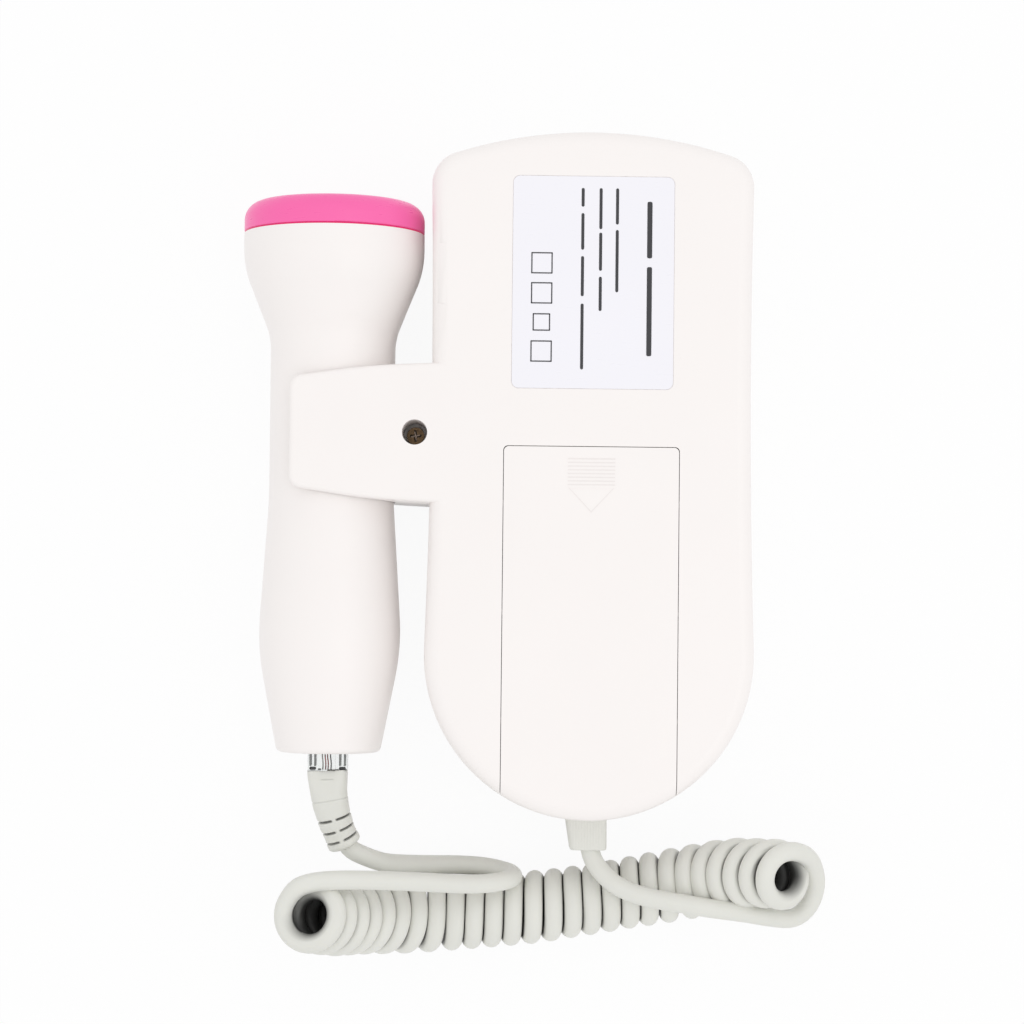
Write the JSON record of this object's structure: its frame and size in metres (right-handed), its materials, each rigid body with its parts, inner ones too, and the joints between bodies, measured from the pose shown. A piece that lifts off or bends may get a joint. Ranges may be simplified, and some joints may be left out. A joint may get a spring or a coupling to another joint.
{
  "type": "fetal doppler monitor",
  "caption": "Hand-held fetal doppler lying on its face: round-ended unit with a sliding battery door, side clip with a flared probe, and a coiled cord.",
  "frame": {"origin": "on the surface the unit lies on, under the middle of the unit and its clipped probe, cord left out", "axes": "+Y along the unit towards its top end, away from the cord; +Z out of its back; +X away from the probe"},
  "size_m": [0.1256, 0.1725, 0.0382],
  "materials": {
    "shell_white": "satin moulded",
    "trim_pink": "glossy moulded",
    "label_film": "printed film",
    "clear_plastic": "clear moulded",
    "display": "display glass",
    "light_guide": "frosted",
    "circuit_board": "solder mask",
    "dark_plastic": "moulded",
    "speaker_metal": "satin",
    "cone_paper": "pressed paper",
    "cell_jacket": "bare jacket",
    "plated_steel": "nickel plated",
    "screw_bronze": "blackened",
    "contact_gold": "gold plated",
    "cord_grey": "soft satin",
    "crystal": "ceramic",
    "backing": "cast"
  },
  "bodies": {
    "monitor": {"rear_shell": "shell_white", "front_shell": "shell_white", "rating_label": "label_film", "front_panel": "trim_pink", "lcd_window": "clear_plastic", "lcd_module": "display", "lcd_backlight": "light_guide", "main_board": "circuit_board", "board_components": "dark_plastic", "tact_switches": "dark_plastic", "speaker_basket": "speaker_metal", "speaker_cone": "cone_paper", "headphone_jack": "dark_plastic", "battery_cell_left": "cell_jacket", "battery_cell_right": "cell_jacket", "battery_springs": "plated_steel", "battery_plates": "plated_steel", "battery_bridge": "plated_steel", "holder_screw": "screw_bronze", "case_screws": "screw_bronze", "board_screws": "screw_bronze", "cord_strain_relief": "cord_grey", "cord_lead_monitor": "cord_grey", "cord_coil": "cord_grey", "cord_lead_probe": "cord_grey"},
    "door": {"battery_door": "shell_white"},
    "volume_down": {"volume_down_button": "shell_white"},
    "power": {"power_button": "shell_white"},
    "volume_up": {"volume_up_button": "shell_white"},
    "probe": {"probe_rear_half": "shell_white", "probe_front_half": "shell_white", "probe_head_cap": "trim_pink", "transducer_crystals": "crystal", "crystal_backing": "backing", "probe_board": "circuit_board", "probe_jack": "dark_plastic", "rj_plug": "clear_plastic", "plug_contacts": "contact_gold", "plug_boot": "cord_grey"}
  },
  "joints": [
    {"name": "door_slide", "type": "slide", "parent": "monitor", "child": "door", "axis": [0, -1, 0], "range_m": [0, 0.077]},
    {"name": "probe_slide", "type": "slide", "parent": "monitor", "child": "probe", "axis": [-1, 0, 0], "range_m": [0, 0.045]},
    {"name": "volume_down_press", "type": "slide", "parent": "monitor", "child": "volume_down", "axis": [0, 0, 1], "range_m": [0, 0.0005], "stiffness_N_per_m": 400},
    {"name": "power_press", "type": "slide", "parent": "monitor", "child": "power", "axis": [0, 0, 1], "range_m": [0, 0.0005], "stiffness_N_per_m": 400},
    {"name": "volume_up_press", "type": "slide", "parent": "monitor", "child": "volume_up", "axis": [0, 0, 1], "range_m": [0, 0.0005], "stiffness_N_per_m": 400}
  ]
}
